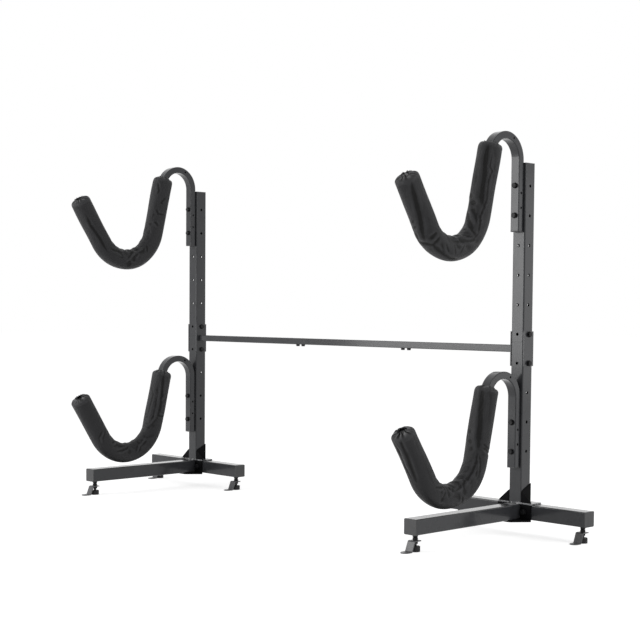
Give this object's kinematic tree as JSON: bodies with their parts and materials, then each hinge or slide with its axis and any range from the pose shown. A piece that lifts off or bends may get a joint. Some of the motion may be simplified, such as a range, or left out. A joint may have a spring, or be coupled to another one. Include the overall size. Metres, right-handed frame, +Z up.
{
  "type": "freestanding kayak rack",
  "caption": "Freestanding kayak rack: square posts on three-legged levelling bases, tied by a sectional crossbar, with padded U-shaped cradle hooks bolted to the posts.",
  "frame": {"origin": "on the floor, in the middle of the space that the rack takes up", "axes": "+X along the crossbar towards the right post, -Y the side that the hooks open over, +Z up"},
  "size_m": [2.325, 0.6691, 1.3565],
  "materials": {
    "black_powder_coat": "satin black powder coat",
    "black_fastener": "black plated steel",
    "insert_steel": "plain steel",
    "black_plastic": "matte moulded plastic",
    "foam": "closed-cell foam",
    "sleeve_cloth": "woven polyester, dark"
  },
  "bodies": {
    "frame": {"tube_plugs": "black_plastic", "bolt_nuts": "black_fastener", "splice_bolts": "black_fastener", "hook_bolts": "black_fastener", "joint_bolts": "black_fastener", "hook_plugs": "black_plastic", "crossbar_left": "black_powder_coat", "crossbar_middle": "black_powder_coat", "crossbar_right": "black_powder_coat", "crossbar_spigots": "black_powder_coat", "crossbar_screws": "black_fastener", "gussets": "black_powder_coat", "leg_inserts": "insert_steel", "post_lower_left": "black_powder_coat", "post_upper_left": "black_powder_coat", "splice_inner_left": "black_powder_coat", "splice_outer_left": "black_powder_coat", "cross_tube_left": "black_powder_coat", "long_leg_left": "black_powder_coat", "post_plate_left": "black_powder_coat", "leg_bracket_left": "black_powder_coat", "post_lower_right": "black_powder_coat", "post_upper_right": "black_powder_coat", "splice_inner_right": "black_powder_coat", "splice_outer_right": "black_powder_coat", "cross_tube_right": "black_powder_coat", "long_leg_right": "black_powder_coat", "post_plate_right": "black_powder_coat", "leg_bracket_right": "black_powder_coat", "hook_upper_left": "black_powder_coat", "pad_foam_upper_left": "foam", "pad_sleeve_upper_left": "sleeve_cloth", "hook_upper_right": "black_powder_coat", "pad_foam_upper_right": "foam", "pad_sleeve_upper_right": "sleeve_cloth", "hook_lower_left": "black_powder_coat", "pad_foam_lower_left": "foam", "pad_sleeve_lower_left": "sleeve_cloth", "hook_lower_right": "black_powder_coat", "pad_foam_lower_right": "foam", "pad_sleeve_lower_right": "sleeve_cloth"},
    "foot_front_left": {"stud_front_left": "black_fastener", "glide_front_left": "black_plastic"},
    "anchor_front_left": {"floor_bracket_front_left": "black_fastener"},
    "foot_inner_left": {"stud_inner_left": "black_fastener", "glide_inner_left": "black_plastic"},
    "anchor_inner_left": {"floor_bracket_inner_left": "black_fastener"},
    "foot_outer_left": {"stud_outer_left": "black_fastener", "glide_outer_left": "black_plastic"},
    "anchor_outer_left": {"floor_bracket_outer_left": "black_fastener"},
    "foot_front_right": {"stud_front_right": "black_fastener", "glide_front_right": "black_plastic"},
    "anchor_front_right": {"floor_bracket_front_right": "black_fastener"},
    "foot_inner_right": {"stud_inner_right": "black_fastener", "glide_inner_right": "black_plastic"},
    "anchor_inner_right": {"floor_bracket_inner_right": "black_fastener"},
    "foot_outer_right": {"stud_outer_right": "black_fastener", "glide_outer_right": "black_plastic"},
    "anchor_outer_right": {"floor_bracket_outer_right": "black_fastener"}
  },
  "joints": [
    {"name": "level_front_left", "type": "slide", "parent": "frame", "child": "foot_front_left", "axis": [0, 0, -1], "range_m": [0, 0.012]},
    {"name": "swivel_front_left", "type": "hinge", "parent": "foot_front_left", "child": "anchor_front_left", "pos_m": [-0.875, -0.2355, 0.035], "axis": [0, 0, 1], "range_deg": [-90, 90]},
    {"name": "level_inner_left", "type": "slide", "parent": "frame", "child": "foot_inner_left", "axis": [0, 0, -1], "range_m": [0, 0.012]},
    {"name": "swivel_inner_left", "type": "hinge", "parent": "foot_inner_left", "child": "anchor_inner_left", "pos_m": [-0.613, 0.296, 0.035], "axis": [0, 0, 1], "range_deg": [-90, 90]},
    {"name": "level_outer_left", "type": "slide", "parent": "frame", "child": "foot_outer_left", "axis": [0, 0, -1], "range_m": [0, 0.012]},
    {"name": "swivel_outer_left", "type": "hinge", "parent": "foot_outer_left", "child": "anchor_outer_left", "pos_m": [-1.137, 0.296, 0.035], "axis": [0, 0, 1], "range_deg": [-90, 90]},
    {"name": "level_front_right", "type": "slide", "parent": "frame", "child": "foot_front_right", "axis": [0, 0, -1], "range_m": [0, 0.012]},
    {"name": "swivel_front_right", "type": "hinge", "parent": "foot_front_right", "child": "anchor_front_right", "pos_m": [0.875, -0.2355, 0.035], "axis": [0, 0, 1], "range_deg": [-90, 90]},
    {"name": "level_inner_right", "type": "slide", "parent": "frame", "child": "foot_inner_right", "axis": [0, 0, -1], "range_m": [0, 0.012]},
    {"name": "swivel_inner_right", "type": "hinge", "parent": "foot_inner_right", "child": "anchor_inner_right", "pos_m": [0.613, 0.296, 0.035], "axis": [0, 0, 1], "range_deg": [-90, 90]},
    {"name": "level_outer_right", "type": "slide", "parent": "frame", "child": "foot_outer_right", "axis": [0, 0, -1], "range_m": [0, 0.012]},
    {"name": "swivel_outer_right", "type": "hinge", "parent": "foot_outer_right", "child": "anchor_outer_right", "pos_m": [1.137, 0.296, 0.035], "axis": [0, 0, 1], "range_deg": [-90, 90]}
  ]
}
